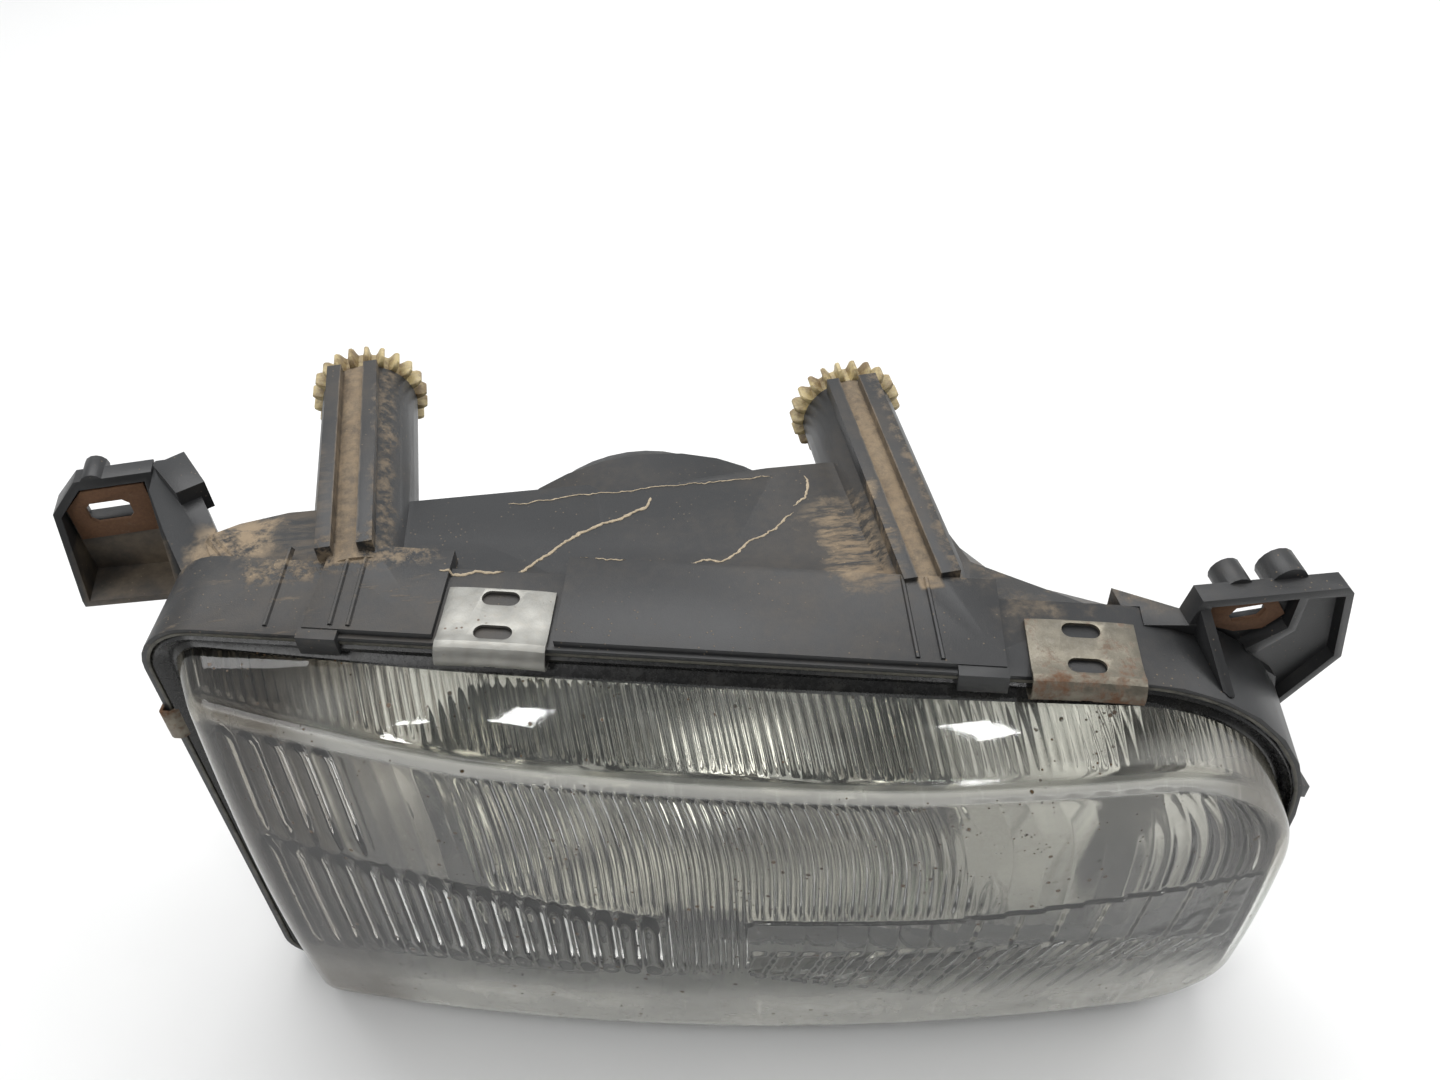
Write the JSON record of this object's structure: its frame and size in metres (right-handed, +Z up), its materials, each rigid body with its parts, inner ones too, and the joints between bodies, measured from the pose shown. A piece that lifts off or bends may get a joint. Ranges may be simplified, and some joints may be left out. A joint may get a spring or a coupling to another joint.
{
  "type": "car headlight assembly",
  "caption": "Car headlight: fluted glass lens clipped to a moulded housing, with a swivelling reflector aimed by geared screws, a bulb, a side light and mounting ears.",
  "frame": {"origin": "under the middle of the assembly's bounding box, on the plane the lamp stands on", "axes": "+Z up, +Y back into the car along the light axis, +X towards the lamp's inner end; the lens faces -Y"},
  "size_m": [0.4225, 0.2272, 0.2125],
  "materials": {
    "black_plastic": "moulded, dusty",
    "clear_glass": "pressed, fluted",
    "rubber": "moulded",
    "zinc_steel": "zinc plated",
    "rusty_steel": "rusted sheet",
    "nylon": "yellowed moulding",
    "mirror_metal": "aluminised",
    "brass": "plain",
    "grey_plastic": "moulded"
  },
  "bodies": {
    "lamp_body": {"housing_shell": "black_plastic", "mounting_ear_left": "black_plastic", "mounting_ear_right": "black_plastic", "lens_glass": "clear_glass", "lens_gasket": "rubber", "spring_clip_top_left": "zinc_steel", "spring_clip_top_right": "rusty_steel", "spring_clip_bottom_left": "rusty_steel", "spring_clip_bottom_right": "rusty_steel", "spring_clip_side": "rusty_steel", "ear_insert_left": "rusty_steel", "ear_insert_right": "rusty_steel", "pivot_post": "nylon", "dust_cap_seal": "rubber", "vent_cap": "rubber", "connector_shell": "grey_plastic", "connector_pin_1": "brass", "connector_pin_2": "brass", "connector_pin_3": "brass"},
    "adjuster_left": {"adjuster_gear_left": "nylon", "adjuster_screw_left": "zinc_steel"},
    "adjuster_right": {"adjuster_gear_right": "nylon", "adjuster_screw_right": "zinc_steel"},
    "nut_left": {"adjuster_nut_left": "nylon"},
    "nut_right": {"adjuster_nut_right": "nylon"},
    "aim_pivot": {"pivot_socket": "nylon"},
    "reflector": {"reflector_bowl": "mirror_metal", "ball_socket_left": "nylon", "ball_socket_right": "nylon", "bulb_shield": "mirror_metal", "bulb_base": "zinc_steel", "bulb_glass": "clear_glass", "bulb_terminal_1": "brass", "bulb_terminal_2": "brass", "bulb_terminal_3": "brass"},
    "bulb_retainer": {"bulb_spring": "zinc_steel"},
    "side_light": {"parking_holder": "grey_plastic", "parking_bulb": "clear_glass"},
    "rear_cap": {"dust_cap": "rubber"}
  },
  "joints": [
    {"name": "adjuster_left_turn", "type": "hinge", "parent": "lamp_body", "child": "adjuster_left", "pos_m": [-0.1013, 0.0993, 0.1914], "axis": [0, 1, 0], "range_deg": [-900, 900]},
    {"name": "adjuster_right_turn", "type": "hinge", "parent": "lamp_body", "child": "adjuster_right", "pos_m": [0.0777, 0.0673, 0.1779], "axis": [0, 1, 0], "range_deg": [-900, 900]},
    {"name": "nut_left_slide", "type": "slide", "parent": "lamp_body", "child": "nut_left", "axis": [0, 1, 0], "range_m": [-0.00376, 0.00376]},
    {"name": "nut_right_slide", "type": "slide", "parent": "lamp_body", "child": "nut_right", "axis": [0, 1, 0], "range_m": [-0.00376, 0.00376]},
    {"name": "aim_horizontal", "type": "hinge", "parent": "lamp_body", "child": "aim_pivot", "pos_m": [0.0777, -0.0447, 0.0294], "axis": [0, 0, 1], "range_deg": [-1.21, 1.21]},
    {"name": "aim_vertical", "type": "hinge", "parent": "aim_pivot", "child": "reflector", "pos_m": [0.0777, -0.0447, 0.0294], "axis": [-0.7305, 0.1714, 0.6611], "range_deg": [-1.99, 1.99]},
    {"name": "bulb_retainer_swing", "type": "hinge", "parent": "reflector", "child": "bulb_retainer", "pos_m": [-0.0063, 0.0792, 0.0714], "axis": [-1, 0, 0], "range_deg": [0, 25]},
    {"name": "side_light_twist", "type": "hinge", "parent": "reflector", "child": "side_light", "pos_m": [-0.0053, 0.04656, 0.0374], "axis": [0, 1, 0], "range_deg": [0, 45]},
    {"name": "rear_cap_twist", "type": "hinge", "parent": "lamp_body", "child": "rear_cap", "pos_m": [-0.0063, 0.1093, 0.0954], "axis": [0, 1, 0], "range_deg": [0, 30]}
  ],
  "couplings": [
    {"joint": "nut_left_slide", "follows": "adjuster_left_turn", "m_per_rad": 0.00023873},
    {"joint": "nut_right_slide", "follows": "adjuster_right_turn", "m_per_rad": 0.00023873},
    {"joint": "aim_horizontal", "follows": "adjuster_left_turn", "ratio": -0.0013337},
    {"joint": "aim_vertical", "follows": "adjuster_right_turn", "ratio": 0.0022008}
  ]
}
